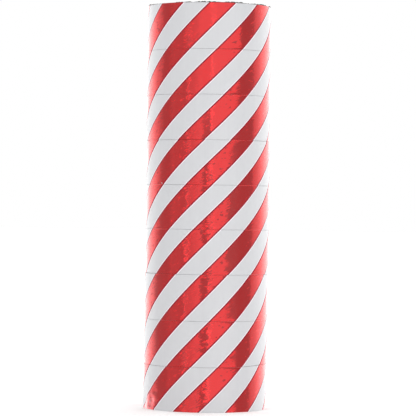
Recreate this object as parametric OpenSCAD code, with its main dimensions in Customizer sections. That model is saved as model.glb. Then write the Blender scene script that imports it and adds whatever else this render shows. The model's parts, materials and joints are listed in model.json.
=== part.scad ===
// Stack of party streamer rolls. Each roll is one strip of white paper with red foil stripes, wound on
// itself without a core. The rolls were wound as one log and cut apart, so the stripes run on from roll
// to roll, and the outer ends of all the strips lie on one line up the back.
// Frame: origin at the centre of the stack's bottom face, +Z up the winding axis, front at -Y.
// Angles are measured about +Z, from +X towards +Y. The strips wind outwards in that direction.

/* [Strip] */
// Width of the strip, which is the height of one roll
strip_w = 15; // [10:0.5:20]
// Length of strip wound into one roll
strip_length = 10000; // [6000:500:12000]
// Thickness of the paper
paper_t = 0.1; // [0.08:0.01:0.11]
// Radius that each turn adds, which is the paper and the air wound in with it
turn_pitch = 0.126; // [0.12:0.002:0.16]
// Diameter of the hole left where the winding mandrel was drawn out
hole_d = 12; // [8:1:16]

/* [Stack] */
// Number of rolls
roll_count = 9; // [2:1:12]
// Gap at the cut between two neighbouring rolls
cut_gap = 0.1; // [0.05:0.05:0.4]

/* [Loose end] */
// Arc of the outer turn that peels off its roll
tail_arc = 70; // [50:5:80]
// Direction of the line where the loose end leaves its roll
tail_root = 55; // [40:5:70]
// Slit between the loose end and the rest of the outer turn, along the surface
tail_slit = 0.3; // [0.2:0.1:0.6]

/* [Foil stripes] */
// Width of one foil stripe, which is also the width of the white stripe beside it
stripe_w = 6.35; // [4:0.05:9]
// Slope of the stripes against the cut faces
stripe_slope = 45; // [40:1:55]
// Direction of the middle of one stripe, half way up the stack
stripe_turn = -70; // [-90:1:-40]
// Thickness of the foil
foil_t = 0.03; // [0.02:0.01:0.05]

/* [Hidden] */
$fn = 180;
paper_white = [0.90, 0.90, 0.92];
foil_red = [0.80, 0.07, 0.10];

hole_r = hole_d / 2;
// A strip of this length and pitch fills the ring between the hole and the outside.
roll_r = sqrt(hole_r * hole_r + strip_length * turn_pitch / PI);
paper_r = roll_r - foil_t;
roll_pitch = strip_w + cut_gap;
stack_h = roll_count * roll_pitch - cut_gap;

// The loose end lies in a recess in the coil, one turn deep, with a slit at each end.
slit_arc = arc_of(tail_slit);
recess_from = tail_root - slit_arc;
recess_to = tail_root + tail_arc + slit_arc;
recess_r = paper_r - turn_pitch;

// Stripes, measured round the roll. A stripe climbs by the roll's height as it goes round by stripe_run.
stripe_arc = arc_of(stripe_w / sin(stripe_slope));
stripe_step = 2 * stripe_arc;
stripe_run = arc_of(strip_w / tan(stripe_slope));
stripe_reach = (stripe_arc + stripe_run) / 2;
over = 1; // how far a cutting shape reaches past what it cuts

COILS = [for (i = [1:roll_count]) str("coil_", i)];
TAILS = [for (i = [1:roll_count]) str("tail_", i)];
COIL_FOILS = [for (i = [1:roll_count]) str("coil_foil_", i)];
TAIL_FOILS = [for (i = [1:roll_count]) str("tail_foil_", i)];

// Angle that a length along the outer surface covers.
function arc_of(length) = length / roll_r * 180 / PI;

// Height of the bottom face of roll i, counted from 1 at the bottom.
function roll_z(i) = (i - 1) * roll_pitch;

// Direction of the middle of stripe 0, half way up roll i.
function first_stripe(i) =
    stripe_turn + arc_of((roll_z(i) + strip_w / 2 - stack_h / 2) / tan(stripe_slope));

// Directions of the middles of every stripe of roll i that reaches into the arc between two directions.
function stripes_in(i, from, to) = [
    for (k = [ceil((from - stripe_reach - first_stripe(i)) / stripe_step) :
              floor((to + stripe_reach - first_stripe(i)) / stripe_step)])
        first_stripe(i) + k * stripe_step
];

// Part of a ring, between two radii and two directions, that stands height above bottom.
module ring_part(inner, outer, from, to, bottom, height) {
    rotate([0, 0, from])
        translate([0, 0, bottom])
            rotate_extrude(angle = to - from)
                translate([inner, 0])
                    square([outer - inner, height]);
}

// The wound strip of roll i, less the stretch of its outer turn that is the loose end.
module coil(i) {
    color(paper_white)
        translate([0, 0, roll_z(i)])
            difference() {
                cylinder(r = paper_r, h = strip_w);
                translate([0, 0, -over])
                    cylinder(r = hole_r, h = strip_w + 2 * over);
                ring_part(recess_r, paper_r + over, recess_from, recess_to, -over, strip_w + 2 * over);
            }
}

// The loose outer end of strip i, lying in the coil's recess.
module tail(i) {
    color(paper_white)
        translate([0, 0, roll_z(i)])
            ring_part(paper_r - paper_t, paper_r, tail_root, tail_root + tail_arc, 0, strip_w);
}

// The space on one side of a stripe's edge, half way up a roll whose bottom is at z = 0.
// Seen from outside, side 1 is above the edge and -1 is below it.
module beside_edge(direction, side) {
    reach = roll_r + over;
    rotate([0, 0, direction])
        translate([0, 0, strip_w / 2])
            rotate([stripe_slope, 0, 0])
                translate([0, -2 * reach, side > 0 ? 0 : -2 * reach])
                    cube([reach, 4 * reach, 2 * reach]);
}

// The foil stripes on the outer surface of strip i, between two directions.
module foil(i, from, to) {
    color(foil_red)
        translate([0, 0, roll_z(i)])
            for (middle = stripes_in(i, from, to))
                intersection() {
                    ring_part(paper_r, roll_r, from, to, 0, strip_w);
                    beside_edge(middle - stripe_arc / 2, -1);
                    beside_edge(middle + stripe_arc / 2, 1);
                }
}

// The foil that stays with the coil. The outer turn starts right behind the loose end's tip, where the
// strip's pattern doesn't meet itself, so the directions run from the tip, a full turn back.
module coil_foil(i) {
    foil(i, recess_to - 360, recess_from);
}

// The foil that lifts with the loose end.
module tail_foil(i) {
    foil(i, tail_root, tail_root + tail_arc);
}

for (i = [1:roll_count]) {
    coil(i);
    tail(i);
    coil_foil(i);
    tail_foil(i);
}
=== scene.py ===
import json
import math

import bpy
import numpy as np
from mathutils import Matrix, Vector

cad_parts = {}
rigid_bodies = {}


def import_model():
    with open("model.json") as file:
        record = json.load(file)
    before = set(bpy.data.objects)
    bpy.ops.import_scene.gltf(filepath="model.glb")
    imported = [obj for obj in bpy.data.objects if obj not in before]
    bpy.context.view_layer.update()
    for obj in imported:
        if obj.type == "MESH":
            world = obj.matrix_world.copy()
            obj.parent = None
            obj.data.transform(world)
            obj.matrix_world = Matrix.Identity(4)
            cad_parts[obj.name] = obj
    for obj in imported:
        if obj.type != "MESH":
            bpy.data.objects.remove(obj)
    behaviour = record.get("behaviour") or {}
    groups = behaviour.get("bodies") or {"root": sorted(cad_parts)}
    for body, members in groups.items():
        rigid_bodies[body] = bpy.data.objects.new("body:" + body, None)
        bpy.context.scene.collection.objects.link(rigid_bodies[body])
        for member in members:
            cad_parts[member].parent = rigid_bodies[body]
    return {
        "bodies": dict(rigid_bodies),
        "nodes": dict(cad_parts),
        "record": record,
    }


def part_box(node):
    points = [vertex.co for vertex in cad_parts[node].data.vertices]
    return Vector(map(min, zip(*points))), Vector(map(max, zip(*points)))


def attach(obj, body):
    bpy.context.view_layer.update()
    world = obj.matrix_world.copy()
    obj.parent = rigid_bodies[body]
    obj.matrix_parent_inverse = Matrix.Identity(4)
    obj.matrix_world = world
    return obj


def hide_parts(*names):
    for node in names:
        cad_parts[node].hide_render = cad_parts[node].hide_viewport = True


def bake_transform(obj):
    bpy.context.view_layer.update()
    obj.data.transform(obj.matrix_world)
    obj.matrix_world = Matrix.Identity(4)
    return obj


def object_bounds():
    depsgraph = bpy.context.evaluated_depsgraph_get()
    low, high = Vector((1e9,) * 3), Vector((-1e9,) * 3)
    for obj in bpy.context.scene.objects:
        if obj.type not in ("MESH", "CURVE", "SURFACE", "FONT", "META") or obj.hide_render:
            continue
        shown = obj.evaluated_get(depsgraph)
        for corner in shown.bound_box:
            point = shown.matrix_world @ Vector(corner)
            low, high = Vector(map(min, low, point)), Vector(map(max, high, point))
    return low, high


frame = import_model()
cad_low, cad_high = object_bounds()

# The looks of a stack of party streamer rolls. Each roll is one strip of white paper with red foil
# stripes, wound on itself. A point of a strip is given by u, the angle wound back from the strip's outer
# tip, by its height z, and by its lift above the outer face of the paper. Everything is in metres.
#
# A roll is five pieces: all the turns but the outermost (inner_turns), the outermost (outer_turn) with its
# foil (foil_stripes), and the loose end that peels off (loose_end) with its own foil (loose_foil).

MM = 0.001

# --- Sizes that come from the frame ---------------------------------------------------------------------

ROLLS = sum(1 for body in frame["bodies"] if body.startswith("roll_"))
MOUNTS = {mount["name"]: mount for mount in frame["record"]["mounts"]}


def node_angles_and_radii(node):
    """Directions and distances from the axis of a CAD node's points."""
    points = np.array([v.co for v in frame["nodes"][node].data.vertices])
    return np.arctan2(points[:, 1], points[:, 0]), np.hypot(points[:, 0], points[:, 1])


tail_angles, tail_radii = node_angles_and_radii("tail_1")
TIP = float(tail_angles.max())  # direction of the strips' outer tips
ROOT_U = float(tail_angles.max() - tail_angles.min())  # where the loose end leaves its roll
PAPER_R = float(tail_radii.max())
PAPER = float(tail_radii.max() - tail_radii.min())
HOLE_R = MOUNTS["centre_hole"]["dims"]["r_mm"] * MM
STACK_MIDDLE = (cad_low.z + cad_high.z) / 2
ROLL_BOTTOM = [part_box(f"coil_{i}")[0].z for i in range(1, ROLLS + 1)]
ROLL_TOP = [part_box(f"coil_{i}")[1].z for i in range(1, ROLLS + 1)]

# --- Sizes that the frame doesn't hold ------------------------------------------------------------------

TURN_PITCH = 0.126 * MM  # radius that one turn of the strip adds
STRIPE = 6.35 * MM  # width of a foil stripe, and of the white stripe beside it
STRIPE_SLOPE = math.radians(45)
STRIPE_TURN = math.radians(-70)  # direction of the middle of one stripe, half way up the stack
FOIL_RISE = 0.016 * MM  # how far the foil stands above the paper
FOIL_ROOT = 0.02 * MM  # how far its hidden side reaches into the paper
FOIL_SPREAD = 0.12 * MM  # how far it reaches past each side of its stripe, round the roll
LACQUER_EDGE = 0.42 * MM  # the darker rim of bare red lacquer along each edge of the foil

FULL_TURN = 2 * math.pi
OUTER_OVERLAP = math.radians(5)  # how far the finely meshed outer turn runs on past a full turn
WRAP_END_U = FULL_TURN + ROOT_U + OUTER_OVERLAP
STRIPE_ROUND = STRIPE / math.sin(STRIPE_SLOPE)  # a stripe's width, measured round the roll
STRIPE_STEP = 2 * STRIPE_ROUND
STRIPE_LEAN = 1 / math.tan(STRIPE_SLOPE)
FOIL_HALF = STRIPE_ROUND / 2 + FOIL_SPREAD  # half of what the foil and its rims cover, round the roll
# The print wanders a little along the log: height up the stack and shift round it, in mm.
PRINT_DRIFT = [(0, 0.45), (30, 0.25), (60, 0.05), (85, 0.1), (100, 0.6), (136, 1.15)]
# The cuts aren't quite evenly spaced: how far each is from its place, from the bottom up, in mm.
CUT_SHIFT = [0, -0.2, 0.02, 0.34, 0.22, -0.06, -0.2, -0.22, -0.26, 0]

# --- The winding ----------------------------------------------------------------------------------------


def cut_heights(roll):
    """Heights of a roll's two cut faces."""
    return ROLL_BOTTOM[roll - 1], ROLL_TOP[roll - 1]


def turn_radius(u):
    """Radius of the paper's outer face."""
    return PAPER_R - TURN_PITCH * u / FULL_TURN


def arc_from_tip(u):
    """Length of strip between the tip and u."""
    return PAPER_R * u - TURN_PITCH * u * u / (2 * FULL_TURN)


def u_at_arc(arc):
    """The inverse of arc_from_tip."""
    return (PAPER_R - np.sqrt(PAPER_R**2 - TURN_PITCH * arc / math.pi)) * FULL_TURN / TURN_PITCH


INNER_U = (PAPER_R - PAPER - HOLE_R) * FULL_TURN / TURN_PITCH
FIRST_STRIPE_ARC = arc_from_tip(TIP - STRIPE_TURN)


def stripe_middle(z):
    """How far back from the tip the middle of stripe 0 lies, at a height."""
    heights, shifts = np.array(PRINT_DRIFT).T * MM
    return FIRST_STRIPE_ARC - (z - STACK_MIDDLE) * STRIPE_LEAN - np.interp(z, heights, shifts)


def stripe_phase(u, z):
    """Distance round the roll from the middle of stripe 0, in stripe steps, so that it is a whole number
    in the middle of every stripe."""
    return (arc_from_tip(u) - stripe_middle(z)) / STRIPE_STEP


def has_foil(u, z):
    """Whether a foil stripe covers the strip at these points."""
    phase = stripe_phase(u, z)
    return np.abs(phase - np.round(phase)) < FOIL_HALF / STRIPE_STEP


# --- Shape of the wound paper ---------------------------------------------------------------------------


def bell(x, middle, width):
    """1 at the middle, falling smoothly to nothing over about two widths."""
    return np.exp(-(((x - middle) / width) ** 2))


def around(theta, direction):
    """Angle between two directions, from -pi to pi."""
    return (theta - direction + math.pi) % FULL_TURN - math.pi


NOISE_ROWS = 256  # cells after which noise repeats in y, more than any use of it has


def noise(x, y, seed, repeat):
    """Smooth noise from -1 to 1 with features about one unit across. It repeats in x, as often as told."""
    lattice = np.random.default_rng(seed).uniform(-1, 1, (NOISE_ROWS, repeat))
    column, row = np.floor(x).astype(int), np.floor(y).astype(int)
    fx, fy = x - column, y - row
    fx = fx**3 * (fx * (6 * fx - 15) + 10)
    fy = fy**3 * (fy * (6 * fy - 15) + 10)

    def corner(i, j):
        return lattice[(row + j) % NOISE_ROWS, (column + i) % repeat]

    low = corner(0, 0) * (1 - fx) + corner(1, 0) * fx
    high = corner(0, 1) * (1 - fx) + corner(1, 1) * fx
    return low * (1 - fy) + high * fy


def noise_on_log(theta, z, cells_round, cell_height, seed):
    """Noise on the outside of the log, continuous from roll to roll."""
    return noise(theta / FULL_TURN * cells_round, z / cell_height, seed, cells_round)


STRIP_REPEAT = 4096  # cells after which the noise along a strip repeats, too far apart to notice


def noise_along(x, seed):
    """Noise along a strip, with features about one unit long."""
    return noise(x, x * 0, seed, STRIP_REPEAT)


CRUMPLE_TOP = 9 * MM  # the crumpled corner of the lowest roll: how high it reaches, and its directions
CRUMPLE_DIRECTIONS = (math.radians(183), math.radians(228))
# Dents and bulges: direction in degrees, height up the stack, half widths around and up, and push.
MARKS = [
    (190, 0.0 * MM, 12, 4.5 * MM, 0.24 * MM),  # the bottom roll's crushed corner flares out
    (196, 2.6 * MM, 5.0, 1.7 * MM, -0.34 * MM),
    (204, 1.0 * MM, 3.6, 1.3 * MM, 0.26 * MM),
    (205, 5.2 * MM, 3.6, 1.3 * MM, 0.20 * MM),
    (212, 3.2 * MM, 3.4, 1.2 * MM, -0.24 * MM),
    (217, 0.8 * MM, 3.0, 1.0 * MM, 0.12 * MM),
    (217, 6.4 * MM, 3.0, 1.2 * MM, -0.07 * MM),
    (223, 3.8 * MM, 2.8, 1.0 * MM, 0.04 * MM),
    (231, 14.6 * MM, 3.0, 0.8 * MM, 0.03 * MM),
    (184, 83.5 * MM, 6, 1.6 * MM, -0.25 * MM),  # a knock on the left edge, half way up
    (222, 76.2 * MM, 1.5, 0.6 * MM, 0.045 * MM),
    (262, 86.0 * MM, 7, 0.7 * MM, 0.02 * MM),
    (335, 28.2 * MM, 3, 0.5 * MM, 0.05 * MM),  # a lifted edge on the right
]
SKEW_CUT = ROLL_TOP[0]  # the cut between the two lowest rolls rises a little on the right
SKEW_RISE = 0.55 * MM
SKEW_OPENING = 0.07 * MM  # and gapes there
SKEW_DIRECTION = math.radians(-12)
SKEW_HALF_ROUND = math.radians(38)  # how far round and how far up the skew reaches
SKEW_HALF_UP = 6 * MM
# Slow waves that put the log out of round: how many go round it, their depth, and where they start.
WAVES = [(2, 0.05 * MM, 0.7), (3, 0.03 * MM, -0.4)]
# The winding is uneven all over: cells round the log, their height, the depth and the seed.
UNEVEN = [(38, 34 * MM, 0.022 * MM, 11), (96, 12 * MM, 0.006 * MM, 12)]
# Patches that are rougher than the rest, and the roughness there: cells, their height, and the seed.
PATCHES = (9, 12 * MM, 13)
PATCH_ROUGHNESS = (46, 2.4 * MM, 14)
PATCH_DEPTH = 0.016 * MM
FADE_DEPTH = 3 * MM  # how far in from the outside the dents and bulges reach
SIDE_SHIFT = [-0.10, 0.0, 0.0, 0.20, 0.22, 0.18, 0.0, -0.03, 0.0]  # each roll's place in x, in mm


def bulge(theta, z):
    """How far the outside of the log is pushed out."""
    push = sum(depth * np.cos(count * theta + start) for count, depth, start in WAVES)
    for cells_round, cell_height, depth, seed in UNEVEN:
        push = push + depth * noise_on_log(theta, z, cells_round, cell_height, seed)
    patch = np.clip(noise_on_log(theta, z, *PATCHES) * 1.6 + 0.3, 0, 1)
    push = push + PATCH_DEPTH * patch * noise_on_log(theta, z, *PATCH_ROUGHNESS)
    for direction, height, half_round, half_up, amount in MARKS:
        turn = around(theta, math.radians(direction))
        push = push + amount * bell(turn, 0, math.radians(half_round)) * bell(z, height, half_up)
    return push


def settle(theta, z, roll):
    """How far the paper is raised: the cuts are uneven, and the lowest runs askew and gapes."""
    side = bell(around(theta, SKEW_DIRECTION), 0, SKEW_HALF_ROUND)
    near = bell(z, SKEW_CUT, SKEW_HALF_UP)
    apart = SKEW_OPENING if roll > 1 else -SKEW_OPENING / 2
    uneven = np.interp(z, [ROLL_BOTTOM[0]] + ROLL_TOP, np.array(CUT_SHIFT) * MM)
    return side * near * (SKEW_RISE + apart) + uneven


def place(u, z, lift, roll, push):
    """Where points of a roll's strip are."""
    theta = TIP - u
    fade = np.exp(-(PAPER_R - turn_radius(u)) / FADE_DEPTH)
    r = turn_radius(u) + lift + fade * push
    x = r * np.cos(theta) + SIDE_SHIFT[roll - 1] * MM
    return np.stack([x, r * np.sin(theta), z + settle(theta, z, roll)], -1)


# --- Meshes ---------------------------------------------------------------------------------------------

# A sheet's faces are numbered by the side they are on: these four, then 4 at its start and 5 at its tip.
OUTER, INNER, BOTTOM, TOP = range(4)


def sheet(u, z, outer_lift, inner_lift, roll, push=None):
    """A closed thin sheet: its points, its faces, and the side each face is on. u and z are grids whose
    first index runs towards the tip, and whose second runs up. The push is bulge's, unless it is given."""
    n, m = u.shape
    if push is None:
        push = bulge(TIP - u, z)
    layers = [place(u, z, lift, roll, push).reshape(-1, 3) for lift in (outer_lift, inner_lift)]
    outer = np.arange(n * m).reshape(n, m)
    inner = outer + n * m

    def quads(a, b, c, d):
        return np.stack([a.ravel(), b.ravel(), c.ravel(), d.ravel()], -1)

    faces = [
        quads(outer[:-1, :-1], outer[1:, :-1], outer[1:, 1:], outer[:-1, 1:]),
        quads(inner[:-1, :-1], inner[:-1, 1:], inner[1:, 1:], inner[1:, :-1]),
        quads(outer[1:, 0], outer[:-1, 0], inner[:-1, 0], inner[1:, 0]),
        quads(outer[:-1, -1], outer[1:, -1], inner[1:, -1], inner[:-1, -1]),
        quads(outer[0, :-1], outer[0, 1:], inner[0, 1:], inner[0, :-1]),
        quads(outer[-1, 1:], outer[-1, :-1], inner[-1, :-1], inner[-1, 1:]),
    ]
    side = np.repeat(np.arange(len(faces)), [len(part) for part in faces])
    return np.concatenate(layers), np.concatenate(faces), side


def make_mesh(name, points, quads, side, material_of_face, materials, flat_map, values):
    """A mesh object, shaded smooth but for its edges. flat_map holds each point's place on the unrolled
    log, and values holds named numbers for each point, for the materials."""
    mesh = bpy.data.meshes.new(name)
    mesh.vertices.add(len(points))
    mesh.vertices.foreach_set("co", points.astype(np.float32).ravel())
    mesh.loops.add(quads.size)
    mesh.loops.foreach_set("vertex_index", quads.astype(np.int32).ravel())
    mesh.polygons.add(len(quads))
    mesh.polygons.foreach_set("loop_start", np.arange(0, quads.size, 4, dtype=np.int32))
    for material in materials:
        mesh.materials.append(material)
    mesh.polygons.foreach_set("material_index", material_of_face.astype(np.int32))
    mesh.update(calc_edges=True)
    mesh.polygons.foreach_set("use_smooth", np.isin(side, [OUTER, INNER]))
    unrolled = mesh.uv_layers.new(name="unrolled")
    unrolled.data.foreach_set("uv", flat_map[quads.ravel()].astype(np.float32).ravel())
    for key, numbers in values.items():
        mesh.attributes.new(key, "FLOAT", "POINT").data.foreach_set("value", numbers.astype(np.float32))
    mesh.validate()
    piece = bpy.data.objects.new(name, mesh)
    bpy.context.scene.collection.objects.link(piece)
    return piece


MAP_UNIT = 0.1  # one unit of the unrolled map is a decimetre, which is a handy size for patterns


def flat_map_of(u, z):
    """Unrolled place of grid points, in map units."""
    around_log = (TIP - u) * PAPER_R
    return np.stack([around_log.ravel(), z.ravel()], -1) / MAP_UNIT


EDGE_ROWS = np.array([0, 0.08, 0.2, 0.45, 0.9]) * MM  # distances of the mesh rows nearest to a cut
MIDDLE_ROWS = 15
CRUMPLE_ROWS = 35


def height_rows(roll):
    """Heights of a roll's mesh rows: closer near the cuts, and closest in the crumpled part of roll 1."""
    low, high = cut_heights(roll)
    first, last = low + EDGE_ROWS[-1], high - EDGE_ROWS[-1]
    middle = np.linspace(first, last, MIDDLE_ROWS + 2)[1:-1]
    if roll == 1:
        crumple = np.linspace(first, CRUMPLE_TOP, CRUMPLE_ROWS + 1)[1:]
        middle = np.union1d(crumple, middle[middle > CRUMPLE_TOP])
    return np.concatenate([low + EDGE_ROWS, middle, (high - EDGE_ROWS)[::-1]])


def cut_distance(z, roll):
    """How far points are from the nearer cut."""
    low, high = cut_heights(roll)
    return np.minimum(z - low, high - z)


CURL_DEPTH = 0.012 * MM
CURL_REACH = 0.15 * MM


def curl_at_cut(z, roll):
    """The lift of the paper near a cut, where the saw has pressed it in a little."""
    return -CURL_DEPTH * np.exp(-cut_distance(z, roll) / CURL_REACH)


EDGE_SWELL = 0.03 * MM  # how far the sawn edges swell into the gap that the saw left
EDGE_ROUGHNESS = [(0.8 * MM, 0.006 * MM, 21), (7 * MM, 0.010 * MM, 41)]  # length, height and first seed
ON_CUT = 1e-7  # points this close to a cut are on it


def cut_edge_shift(u, z, roll):
    """How far points on the cut edges stand above their place: the edges are swollen, and a little rough."""
    low, high = cut_heights(roll)
    side = (z > high - ON_CUT) * 1.0 - (z < low + ON_CUT)
    arc = arc_from_tip(u)
    rough = sum(height * noise_along(arc / length, seed + roll) for length, height, seed in EDGE_ROUGHNESS)
    return side * EDGE_SWELL + np.abs(side) * rough


def paper_piece(name, u, z, roll, extra_lift=0.0):
    """A finely meshed stretch of the paper strip."""
    lift = curl_at_cut(z, roll) + extra_lift
    points, quads, side = sheet(u, z + cut_edge_shift(u, z, roll), lift, lift - PAPER, roll)
    u_face = np.tile(u.ravel(), 2)[quads].mean(1)
    z_face = points[quads].mean(1)[:, 2]
    foil = np.isin(side, [BOTTOM, TOP]) & has_foil(u_face, z_face)
    return make_mesh(
        name,
        points,
        quads,
        side,
        foil + 2 * (side == INNER),
        [paper_material, foil_edge_material, paper_back_material],
        np.tile(flat_map_of(u, z), (2, 1)),
        {
            "cut_distance": np.tile(cut_distance(z, roll).ravel(), 2),
            "stripe_phase": np.tile(stripe_phase(u, z).ravel(), 2),
        },
    )


def grid(u_values, z_values):
    """Matching grids of u and z. The first index runs towards the tip, so u falls along it."""
    return np.meshgrid(np.sort(u_values)[::-1], z_values, indexing="ij")


# A very narrow column of mesh beside each joint between two pieces keeps the shading even across it.
JOINT_COLUMN = 0.016 * MM
OUTER_COLUMNS = 261  # places along the strip where the outer turn has points
CRUMPLE_COLUMNS = 70  # more of them in the crumpled corner
LOOSE_COLUMNS = 55


def outer_turn(roll):
    """The outermost turn, and the stretch that the loose end covers."""
    u_values = np.append(np.linspace(ROOT_U, WRAP_END_U, OUTER_COLUMNS), ROOT_U + JOINT_COLUMN / PAPER_R)
    if roll == 1:
        crumple = (TIP - np.linspace(*CRUMPLE_DIRECTIONS, CRUMPLE_COLUMNS)) % FULL_TURN
        u_values = np.union1d(u_values, crumple)
    u, z = grid(u_values, height_rows(roll))
    return paper_piece(f"outer_turn_{roll}", u, z, roll)


TIP_SPRING = 0.16 * MM
TIP_SPRING_U = math.radians(16)


def tip_lift(u):
    """The loose end's tip springs off the roll a little."""
    return TIP_SPRING * np.clip(1 - u / TIP_SPRING_U, 0, 1) ** 2


def loose_end(roll):
    """The stretch of the strip that peels off."""
    u_values = np.append(np.linspace(0, ROOT_U, LOOSE_COLUMNS), ROOT_U - JOINT_COLUMN / PAPER_R)
    u, z = grid(u_values, height_rows(roll))
    return paper_piece(f"loose_end_{roll}", u, z, roll, tip_lift(u))


STRIPE_COLUMNS = 25
STRIPE_ROWS = 42
CRUMPLED_STRIPE_ROWS = 70
STRIPE_END_ROW = 0.1 * MM  # the first row of mesh along each cut is this narrow
LEAST_FOIL = 0.1 * MM  # a stripe's point at the end of the strip stops at this width


def stripe_grids(u_from, u_to, roll):
    """Grids of u and z for every foil stripe between two places on a roll's strip, cut off at its edges,
    and which of each grid's cells are in the lacquer rims."""
    low, high = cut_heights(roll)
    arc_low, arc_high = arc_from_tip(u_from), arc_from_tip(u_to)
    rows = np.linspace(low, high, CRUMPLED_STRIPE_ROWS if roll == 1 else STRIPE_ROWS)
    rows[1], rows[-2] = low + STRIPE_END_ROW, high - STRIPE_END_ROW
    first = math.floor(float(stripe_phase(u_from, low))) - 1
    last = math.ceil(float(stripe_phase(u_to, high))) + 1
    for k in range(first, last + 1):
        middle = stripe_middle(rows) + k * STRIPE_STEP
        a = np.maximum(middle - FOIL_HALF, arc_low)
        b = np.minimum(middle + FOIL_HALF, arc_high)
        inside_strip = b - a > LEAST_FOIL
        if inside_strip.sum() < 2:
            continue
        a, b, kept = a[inside_strip], b[inside_strip], rows[inside_strip]
        # Where a stripe runs out into a point, its rims are a third of its width each.
        rim = np.minimum(LACQUER_EDGE / math.sin(STRIPE_SLOPE), (b - a) / 3)
        first_rim = np.where(b < arc_high, rim, JOINT_COLUMN)
        last_rim = np.where(a > arc_low, rim, JOINT_COLUMN)
        inside = np.linspace(0, 1, STRIPE_COLUMNS)[:, None]
        across = np.concatenate([[b], b - first_rim - inside * (b - a - first_rim - last_rim), [a]])
        rims = np.zeros((len(across) - 1, len(kept) - 1), bool)
        rims[0] = (b < arc_high)[:-1]
        rims[-1] = (a > arc_low)[:-1]
        yield u_at_arc(across), np.tile(kept, (len(across), 1)), rims


def foil_piece(name, u_from, u_to, roll, lift_of):
    """All the foil stripes between two places on a roll's strip, as one piece."""
    all_points, all_quads, all_sides, rims, flats = [], [], [], [], []
    count = 0
    for u, z, in_rim in stripe_grids(u_from, u_to, roll):
        lift = curl_at_cut(z, roll) + lift_of(u)
        shifted = z + cut_edge_shift(u, z, roll)
        points, quads, side = sheet(u, shifted, lift + FOIL_RISE, lift - FOIL_ROOT, roll)
        all_points.append(points)
        all_quads.append(quads + count)
        all_sides.append(side)
        # One entry for each side of the sheet, in the order of their numbers.
        rims += [in_rim.ravel(), in_rim.ravel(), in_rim[:, 0], in_rim[:, -1], in_rim[0], in_rim[-1]]
        flats.append(np.tile(flat_map_of(u, z), (2, 1)))
        count += len(points)
    return make_mesh(
        name,
        np.concatenate(all_points),
        np.concatenate(all_quads),
        np.concatenate(all_sides),
        np.concatenate(rims).astype(int),
        [foil_material, lacquer_material],
        np.concatenate(flats),
        {},
    )


FACET_SAG = 0.02 * MM  # how far the flat facets of the inner turns may stand off the true curve


def stations(u_from, u_to, roll):
    """Places along the strip for the mesh of the inner turns: at every stripe's edge on both cuts, and in
    between as often as the curve needs, so that the facets of one turn don't cut into the next."""
    arc_low, arc_high = arc_from_tip(u_from), arc_from_tip(u_to)
    edges = [np.array([arc_low, arc_high])]
    for z in cut_heights(roll):
        first = float(stripe_middle(z)) - STRIPE_ROUND / 2
        k = np.arange(math.ceil((arc_low - first) / STRIPE_ROUND), (arc_high - first) / STRIPE_ROUND)
        edges.append(first + k * STRIPE_ROUND)
    edges = np.sort(np.concatenate(edges))
    radius = turn_radius(u_at_arc(edges[:-1]))
    longest = np.sqrt(8 * radius * FACET_SAG)  # a facet of this length has that sag
    steps = np.maximum(1, np.ceil(np.diff(edges) / longest)).astype(int)
    owner = np.repeat(np.arange(len(steps)), steps)
    share = (np.arange(len(owner)) - np.repeat(np.cumsum(steps) - steps, steps)) / steps[owner]
    arcs = edges[owner] + share * np.diff(edges)[owner]
    return u_at_arc(np.append(arcs, edges[-1]))


SUNK_DEPTH = 0.03 * MM


def turn_relief(u, z, roll):
    """The cut faces aren't quite flat: some turns sit a little lower than others."""
    turns_in = u / FULL_TURN
    sunk = noise_along(turns_in * 1.3, 71 + roll) + noise_along(turns_in * 0.4, 81 + roll)
    low, high = cut_heights(roll)
    return np.where(z > (low + high) / 2, -1, 1) * SUNK_DEPTH * np.abs(sunk)


# On top of the stack, the turns just inside the outer one stand up past the cut in a ragged fringe, and
# the next few stand up a little.
FRINGE_TURNS = 2
FRINGE_HEIGHT = 0.42 * MM
FRINGE_CLUMP = 3.2 * MM  # length of a clump along the strip, and of one rag
FRINGE_RAG = 0.5 * MM
FRINGE_COLUMNS = 1000
FRINGE_END_U = WRAP_END_U + FRINGE_TURNS * FULL_TURN
PROUD_TURNS = 9
PROUD_HEIGHT = 0.08 * MM


def proud_turns(u):
    """How far each place along the top roll's strip stands up past the cut."""
    arc = arc_from_tip(u)
    clumps = np.clip(0.35 + 1.3 * noise_along(arc / FRINGE_CLUMP, 61), 0, 1)
    ragged = 0.55 + 0.45 * noise_along(arc / FRINGE_RAG, 62)
    depth = (u - WRAP_END_U) / FULL_TURN
    fringe = FRINGE_HEIGHT * clumps * ragged * np.clip(FRINGE_TURNS - depth, 0, 1)
    return fringe + PROUD_HEIGHT * np.clip(1 - depth / PROUD_TURNS, 0, 1)


def inner_turns(roll):
    """All the turns under the outermost one, as one long strip wound into a spiral."""
    u_values = stations(WRAP_END_U, INNER_U, roll)
    if roll == ROLLS:
        u_values = np.union1d(u_values, np.linspace(WRAP_END_U, FRINGE_END_U, FRINGE_COLUMNS))
    u, z = grid(u_values, np.array(cut_heights(roll)))
    edge = cut_edge_shift(u, z, roll) + turn_relief(u, z, roll)
    if roll == ROLLS:
        edge[:, 1] += proud_turns(u[:, 1])
    # The outer turn's deepest dent at a place is taken, so that it stays clear of the turns under it.
    push = np.min([bulge(TIP - u, height) for height in height_rows(roll)], 0)
    points, quads, side = sheet(u, z + edge, 0.0, -PAPER, roll, push)
    u_face = np.tile(u.ravel(), 2)[quads].mean(1)
    z_face = np.tile(z.ravel(), 2)[quads].mean(1)
    foil = np.isin(side, [BOTTOM, TOP]) & has_foil(u_face, z_face)
    # The sides of the top roll's two fringe turns, which stand up past its top cut, are coloured near-black.
    fringe_sides = (roll == ROLLS) & np.isin(side, [OUTER, INNER]) & (u_face < FRINGE_END_U)
    return make_mesh(
        f"inner_turns_{roll}",
        points,
        quads,
        side,
        foil + 2 * fringe_sides,
        [cut_edge_material, foil_edge_material, fringe_dark_material],
        np.tile(flat_map_of(u, z), (2, 1)),
        {},
    )


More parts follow.
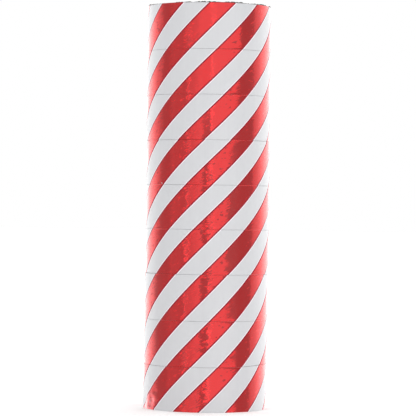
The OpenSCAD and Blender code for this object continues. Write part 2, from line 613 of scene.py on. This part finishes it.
# --- Materials ------------------------------------------------------------------------------------------


def feed(tree, socket, source):
    """Gives a node's input a link or a plain value."""
    if isinstance(source, bpy.types.NodeSocket):
        tree.links.new(source, socket)
    else:
        socket.default_value = source


def calc(tree, operation, *inputs):
    """The result of a maths node."""
    node = tree.nodes.new("ShaderNodeMath")
    node.operation = operation
    for socket, source in zip(node.inputs, inputs):
        feed(tree, socket, source)
    return node.outputs[0]


def remap(tree, source, from_low, from_high, to_low, to_high):
    """A smooth step between two values."""
    node = tree.nodes.new("ShaderNodeMapRange")
    node.interpolation_type = "SMOOTHSTEP"
    for socket, value in zip(node.inputs, (source, from_low, from_high, to_low, to_high)):
        feed(tree, socket, value)
    return node.outputs[0]


def hump(tree, value, middle, width):
    """1 where a value is at the middle, falling smoothly to nothing over about two widths."""
    offset = calc(tree, "DIVIDE", calc(tree, "SUBTRACT", value, middle), width)
    return calc(tree, "EXPONENT", calc(tree, "MULTIPLY", calc(tree, "MULTIPLY", offset, offset), -1.0))


def unrolled_place(tree):
    """Place on the unrolled log, in map units: round it from direction 0, and up it."""
    uv = tree.nodes.new("ShaderNodeUVMap")
    uv.uv_map = "unrolled"
    return uv.outputs[0]


def unrolled_noise(tree, size_round, size_up, detail, seed, slope=0):
    """Noise on the unrolled log, with features of the given sizes, which climb at slope degrees."""
    scale = tree.nodes.new("ShaderNodeMapping")
    scale.vector_type = "TEXTURE"
    scale.inputs["Scale"].default_value = (size_round / MAP_UNIT, size_up / MAP_UNIT, 1)
    scale.inputs["Rotation"].default_value = (0, 0, math.radians(slope))
    scale.inputs["Location"].default_value = (seed * 7.3, seed * 3.1, 0)
    tree.links.new(unrolled_place(tree), scale.inputs[0])
    pattern = tree.nodes.new("ShaderNodeTexNoise")
    pattern.inputs["Scale"].default_value = 1.0
    pattern.inputs["Detail"].default_value = detail
    tree.links.new(scale.outputs[0], pattern.inputs["Vector"])
    return pattern.outputs["Fac"]


def attribute(tree, name):
    """A number that the mesh holds for each point."""
    node = tree.nodes.new("ShaderNodeAttribute")
    node.attribute_name = name
    return node.outputs["Fac"]


def tilted_normal(tree, amount):
    """The surface normal, turned about the upright by an amount in radians."""
    normal = tree.nodes.new("ShaderNodeNewGeometry").outputs["Normal"]
    sideways = tree.nodes.new("ShaderNodeVectorMath")
    sideways.operation = "CROSS_PRODUCT"
    sideways.inputs[0].default_value = (0, 0, 1)
    tree.links.new(normal, sideways.inputs[1])
    turned = tree.nodes.new("ShaderNodeVectorMath")
    turned.operation = "MULTIPLY_ADD"
    tree.links.new(sideways.outputs[0], turned.inputs[0])
    tree.links.new(amount, turned.inputs[1])
    tree.links.new(normal, turned.inputs[2])
    unit = tree.nodes.new("ShaderNodeVectorMath")
    unit.operation = "NORMALIZE"
    tree.links.new(turned.outputs[0], unit.inputs[0])
    return unit.outputs[0]


def mix_colour(tree, share, a, b):
    """A blend of two colours: a where the share is 0, and b where it is 1."""
    node = tree.nodes.new("ShaderNodeMix")
    node.data_type = "RGBA"
    feed(tree, node.inputs[0], share)
    feed(tree, node.inputs[6], a)
    feed(tree, node.inputs[7], b)
    return node.outputs[2]


def new_material(name, **settings):
    """A material with one Principled shader. Settings name its inputs, with _ for a space."""
    material = bpy.data.materials.new(name)
    material.use_nodes = True
    tree = material.node_tree
    shader = tree.nodes["Principled BSDF"]
    for key, value in settings.items():
        shader.inputs[key.replace("_", " ")].default_value = value
    return material, tree, shader


EDGE_HIGHLIGHT_WIDTH = 0.5 * MM / STRIPE_STEP  # width of the painted highlight band beside a stripe, in stripe steps
CUT_GREY_REACH = 0.1 * MM  # how far from a cut the paper turns greyer


def make_paper():
    """Smooth white coated paper: faint streaks up the log, soft mottling, a painted highlight along each
    stripe, and greyer paper near the cuts.
    """
    material, tree, shader = new_material(
        "white_paper", Roughness=0.36, Coat_Weight=0.6, Coat_IOR=1.5, Coat_Roughness=0.2
    )
    streaks = unrolled_noise(tree, 0.9 * MM, 26 * MM, 2.0, 1)
    mottle = unrolled_noise(tree, 7 * MM, 9 * MM, 3.0, 2)
    tone = calc(tree, "MULTIPLY_ADD", streaks, 0.5, calc(tree, "MULTIPLY", mottle, 0.5))
    base_tone = mix_colour(tree, tone, (0.66, 0.665, 0.69, 1), (0.73, 0.735, 0.75, 1))
    # A painted highlight: the paper under each foil stripe and in a narrow band beside it is coloured bright
    # and pinkish.
    phase = attribute(tree, "stripe_phase")
    off_middle = calc(tree, "PINGPONG", phase, 0.5)
    edge = FOIL_HALF / STRIPE_STEP
    edge_highlight = remap(tree, off_middle, edge + EDGE_HIGHLIGHT_WIDTH * 0.7, edge + EDGE_HIGHLIGHT_WIDTH, 1.0, 0.0)
    paper = mix_colour(tree, edge_highlight, base_tone, (1.0, 0.905, 0.96, 1))
    # The paper turns greyer close to each cut, which darkens the seams between the rolls.
    cut_grey = remap(tree, attribute(tree, "cut_distance"), 0.0, CUT_GREY_REACH, 0.15, 0.0)
    feed(tree, shader.inputs["Base Color"], mix_colour(tree, cut_grey, paper, (0.30, 0.30, 0.31, 1)))
    return material


def make_paper_back():
    """The strip's other side: plain uncoated paper, a little cloudy."""
    material, tree, shader = new_material("paper_back", Roughness=0.7)
    cloudy = remap(tree, unrolled_noise(tree, 2.5 * MM, 1.8 * MM, 4.0, 3), 0.3, 0.7, 0.0, 1.0)
    colour = mix_colour(tree, cloudy, (0.78, 0.775, 0.77, 1), (0.84, 0.835, 0.83, 1))
    feed(tree, shader.inputs["Base Color"], colour)
    return material


def foil_crinkle(tree, x):
    """How far the foil's surface is turned at each place, in radians. x is the place round the log."""
    patches = remap(tree, unrolled_noise(tree, 11 * MM, 8 * MM, 2.0, 4), 0.42, 0.6, 0.15, 1.0)
    flakes = remap(tree, unrolled_noise(tree, 1.7 * MM, 0.45 * MM, 2.0, 5, 25), 0.42, 0.58, -0.06, 0.06)
    broad = remap(tree, unrolled_noise(tree, 2.0 * MM, 2.0 * MM, 2.0, 7), 0.3, 0.7, -0.03, 0.03)
    fine = remap(tree, unrolled_noise(tree, 0.8 * MM, 0.5 * MM, 1.0, 10), 0.35, 0.65, -0.014, 0.014)
    waves = calc(tree, "MULTIPLY_ADD", flakes, patches, calc(tree, "ADD", broad, fine))
    creases = remap(tree, unrolled_noise(tree, 1.7 * MM, 0.8 * MM, 2.0, 8, 20), 0.61, 0.65, 0.0, 0.36)
    # The front and the back have been handled more than the sides.
    facing = calc(tree, "SINE", calc(tree, "MULTIPLY_ADD", x, MAP_UNIT / PAPER_R, 0.2))
    handled = calc(tree, "MULTIPLY_ADD", calc(tree, "POWER", facing, 4.0), 0.8, 0.2)
    return calc(tree, "MULTIPLY_ADD", creases, handled, calc(tree, "MULTIPLY", waves, handled))


SCUFF_HIGHLIGHT_DIRECTION = math.radians(204 - 360)  # the middle of the rough corner painted with a pale highlight, and how far it reaches
SCUFF_HIGHLIGHT_HEIGHT = 2.6 * MM
SCUFF_HIGHLIGHT_HALF_ROUND = 3.2 * MM
SCUFF_HIGHLIGHT_HALF_UP = 3.0 * MM


def corner_scuff_and_highlight(tree, x, y):
    """How much the foil is scuffed rougher, and painted pale as a highlight, at each place: the crushed
    corner of the lowest roll, in blotches.
    """
    round_log = hump(tree, x, SCUFF_HIGHLIGHT_DIRECTION * PAPER_R / MAP_UNIT, SCUFF_HIGHLIGHT_HALF_ROUND / MAP_UNIT)
    up_log = hump(tree, y, SCUFF_HIGHLIGHT_HEIGHT / MAP_UNIT, SCUFF_HIGHLIGHT_HALF_UP / MAP_UNIT)
    blotches = remap(tree, unrolled_noise(tree, 2.2 * MM, 1.8 * MM, 2.0, 12), 0.38, 0.6, 0.25, 1.0)
    return calc(tree, "MULTIPLY", calc(tree, "MULTIPLY", round_log, up_log), blotches)


def make_foil():
    """Red metallised foil: a mirror finish, finely crinkled in patches, and in the crushed corner scuffed
    rougher and painted pale as a highlight.
    """
    material, tree, shader = new_material(
        "red_foil", Metallic=1.0, Coat_Weight=1.0, Coat_IOR=1.56, Coat_Roughness=0.2
    )
    parts = tree.nodes.new("ShaderNodeSeparateXYZ")
    tree.links.new(unrolled_place(tree), parts.inputs[0])
    x, y = parts.outputs["X"], parts.outputs["Y"]
    feed(tree, shader.inputs["Normal"], tilted_normal(tree, foil_crinkle(tree, x)))
    haze = unrolled_noise(tree, 3 * MM, 3 * MM, 3.0, 6)
    red = mix_colour(tree, haze, (0.77, 0.017, 0.019, 1), (0.80, 0.026, 0.028, 1))
    # A painted highlight: in the crushed corner the foil is coloured pale pink, in blotches, and it is also
    # made rougher there.
    scuff_and_highlight = corner_scuff_and_highlight(tree, x, y)
    feed(tree, shader.inputs["Base Color"], mix_colour(tree, scuff_and_highlight, red, (0.90, 0.34, 0.36, 1)))
    gloss = remap(tree, haze, 0.35, 0.75, 0.03, 0.08)
    feed(tree, shader.inputs["Roughness"], calc(tree, "MULTIPLY_ADD", scuff_and_highlight, 0.3, gloss))
    return material


def make_lacquer():
    """The dark red lacquer that shows along the foil's edges, unevenly laid."""
    material, tree, shader = new_material(
        "red_lacquer",
        Roughness=0.4,
        Specular_IOR_Level=0.1,
        Coat_Weight=0.3,
        Coat_IOR=1.5,
        Coat_Roughness=0.1,
    )
    uneven = remap(tree, unrolled_noise(tree, 1.5 * MM, 1.5 * MM, 3.0, 9), 0.35, 0.65, 0.0, 1.0)
    colour = mix_colour(tree, uneven, (0.29, 0.002, 0.02, 1), (0.38, 0.002, 0.014, 1))
    feed(tree, shader.inputs["Base Color"], colour)
    return material


def make_plain(name, colour, roughness):
    """A plain material for the cut edges of the turns, which are too narrow to show a pattern. Their stripes
    and the near-black fringe come from which faces have which material."""
    return new_material(name, Base_Color=colour, Roughness=roughness)[0]


paper_material = make_paper()
paper_back_material = make_paper_back()
foil_material = make_foil()
lacquer_material = make_lacquer()
cut_edge_material = make_plain("cut_paper", (0.80, 0.80, 0.81, 1), 0.8)
foil_edge_material = make_plain("cut_foil", (0.50, 0.17, 0.18, 1), 0.6)
# Near-black, for the sides of the ragged fringe on top of the stack.
fringe_dark_material = make_plain("dark_fringe", (0.11, 0.10, 0.09, 1), 0.9)

# --- Pieces ---------------------------------------------------------------------------------------------


def no_lift(u):
    """The wound part of a strip lies flat."""
    return 0 * u


def add_roll(roll):
    """All the pieces of one roll."""
    body, end = f"roll_{roll}", f"end_{roll}"
    for piece in (inner_turns(roll), outer_turn(roll)):
        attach(piece, body)
        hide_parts(f"coil_{roll}")
    stripes = foil_piece(f"foil_stripes_{roll}", ROOT_U, WRAP_END_U, roll, no_lift)
    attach(stripes, body)
    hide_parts(f"coil_foil_{roll}")
    ends = (
        (loose_end(roll), f"tail_{roll}", "paper"),
        (foil_piece(f"loose_foil_{roll}", 0, ROOT_U, roll, tip_lift), f"tail_foil_{roll}", "foil"),
    )
    for piece, node, slot in ends:
        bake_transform(piece)
        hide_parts(node)


for roll in range(1, ROLLS + 1):
    add_roll(roll)

# --- Studio ---------------------------------------------------------------------------------------------

# Brightness of the light tent all round, by direction in degrees: 0 is behind the camera, 90 is on the
# right and 180 is behind the object.
TENT = [
    (-180, 1.50),
    (-132, 1.50),
    (-112, 1.02),
    (-101, 0.74),
    (-96, 0.52),  # the left-hand gap, uneven towards the front
    (-77, 0.52),
    (-73, 0.62),
    (-69, 0.69),
    (-65, 0.57),
    (-61, 0.67),
    (-57, 0.59),
    (-53, 0.68),
    (-49, 0.58),
    (-44, 0.62),
    (-41, 0.60),
    (-40, 1.35),  # a narrow lamp
    (-38, 1.35),
    (-36.5, 0.74),
    (-24, 0.86),
    (-14, 1.02),
    (5.8, 1.05),
    (6.1, 3.2),  # a bright slit beside the camera
    (6.9, 3.2),
    (7.2, 1.06),
    (58, 1.06),
    (62, 0.51),  # the right-hand gap
    (90, 0.50),
    (94, 0.80),
    (108, 1.02),
    (128, 1.50),
    (180, 1.50),
]
TENT_BRIGHTEST = 4.0  # the ramp's colours are shares of this
# Where the gaps bend, a little below the camera's height: height, half height, direction and half width
# of the place, and how far the tent is shifted there, all in degrees.
TENT_BENDS = [
    (-2.5, 1.6, -108, 16, 13.0),  # the left-hand gap reaches further back
    (-0.7, 2.7, 42, 22, 24.0),  # the right-hand gap reaches further round to the front
]
BAR_DIRECTION = -3.6  # the camera and its stand, which show as a dark bar in the middle


def make_world():
    """A light tent: bright in front and behind, with dark gaps at the sides for the foil to mirror."""
    world = bpy.data.worlds.new("light_tent")
    bpy.context.scene.world = world
    world.use_nodes = True
    tree = world.node_tree
    place_in = tree.nodes.new("ShaderNodeTexCoord")
    parts = tree.nodes.new("ShaderNodeSeparateXYZ")
    tree.links.new(place_in.outputs["Generated"], parts.inputs[0])
    x, y, z = parts.outputs
    to_degrees = 180 / math.pi
    azimuth = calc(tree, "ARCTAN2", x, calc(tree, "MULTIPLY", y, -1.0))
    direction = calc(tree, "MULTIPLY", azimuth, to_degrees)
    height = calc(tree, "MULTIPLY", calc(tree, "ARCSINE", z), to_degrees)
    warped = direction
    for level, half_height, middle, half_width, shift in TENT_BENDS:
        near_level = hump(tree, height, level, half_height)
        near = calc(tree, "MULTIPLY", near_level, hump(tree, direction, middle, half_width))
        warped = calc(tree, "MULTIPLY_ADD", near, shift, warped)
    ramp = tree.nodes.new("ShaderNodeValToRGB")
    tree.links.new(calc(tree, "MULTIPLY_ADD", warped, 1 / 360, 0.5), ramp.inputs[0])
    stops = ramp.color_ramp.elements
    while len(stops) < len(TENT):
        stops.new(0.5)
    for stop, (angle, level) in zip(stops, TENT):
        stop.position = angle / 360 + 0.5
        share = level / TENT_BRIGHTEST
        stop.color = (share, share, share, 1)
    around_level = calc(tree, "MULTIPLY", ramp.outputs["Color"], TENT_BRIGHTEST)
    off_bar = calc(tree, "ABSOLUTE", calc(tree, "SUBTRACT", direction, BAR_DIRECTION))
    across_bar = remap(tree, off_bar, 5.6, 7.2, 1.0, 0.0)
    bar = calc(tree, "MULTIPLY", across_bar, remap(tree, height, 2.0, 2.8, 1.0, 0.0))
    seen = calc(tree, "MULTIPLY", around_level, calc(tree, "MULTIPLY_ADD", bar, -0.49, 1.0))
    # Overhead, the tent is brighter behind the object than in front, and brighter on the right.
    overhead = remap(tree, height, 18, 40, 0.0, 1.0)
    slant = calc(tree, "MULTIPLY_ADD", y, 0.4, calc(tree, "MULTIPLY_ADD", x, 0.33, 0.98))
    lit = mix_colour(tree, overhead, seen, slant)
    # The camera sees plain white behind the object.
    path = tree.nodes.new("ShaderNodeLightPath")
    shown = mix_colour(tree, path.outputs["Is Camera Ray"], lit, (1.0, 1.0, 1.0, 1))
    tree.links.new(shown, tree.nodes["Background"].inputs["Color"])


FLOOR_HALF = 6.0  # half the floor's width
FLOOR_DROP = 0.1 * MM  # how far it lies below the CAD's lowest face, clear of the swollen paper edges


def make_floor():
    """A wide pale floor that the foil doesn't mirror."""
    material, tree, shader = new_material("pale_floor", Base_Color=(0.9, 0.9, 0.9, 1), Roughness=0.9)
    shader.inputs["Emission Color"].default_value = (1, 1, 1, 1)
    shader.inputs["Emission Strength"].default_value = 0.25
    mesh = bpy.data.meshes.new("floor")
    corners = [(-1, -1), (1, -1), (1, 1), (-1, 1)]
    mesh.from_pydata([(x * FLOOR_HALF, y * FLOOR_HALF, 0) for x, y in corners], [], [(0, 1, 2, 3)])
    mesh.materials.append(material)
    floor = bpy.data.objects.new("floor", mesh)
    bpy.context.scene.collection.objects.link(floor)
    floor.location.z = cad_low.z - FLOOR_DROP
    floor.visible_glossy = False


CAMERA_DISTANCE = 37 * PAPER_R
PICTURE_WIDTH = 141.4 * MM  # what the picture spans at the stack's axis
CAMERA_RIGHT = 0.36 * MM  # how far the camera stands to the right of the axis, and below the middle
CAMERA_BELOW = 0.17 * MM
CAMERA_ROLL = math.radians(0.74)


def make_camera():
    """A long lens, level with the middle of the stack."""
    data = bpy.data.cameras.new("camera")
    data.lens = data.sensor_width * CAMERA_DISTANCE / PICTURE_WIDTH
    data.clip_start = 0.05
    data.clip_end = 50
    camera = bpy.data.objects.new("camera", data)
    camera.location = (CAMERA_RIGHT, -CAMERA_DISTANCE, STACK_MIDDLE - CAMERA_BELOW)
    camera.rotation_euler = (math.radians(90), -CAMERA_ROLL, 0)
    bpy.context.scene.collection.objects.link(camera)
    bpy.context.scene.camera = camera


make_world()
make_floor()
make_camera()
bpy.context.scene.view_settings.view_transform = "Standard"
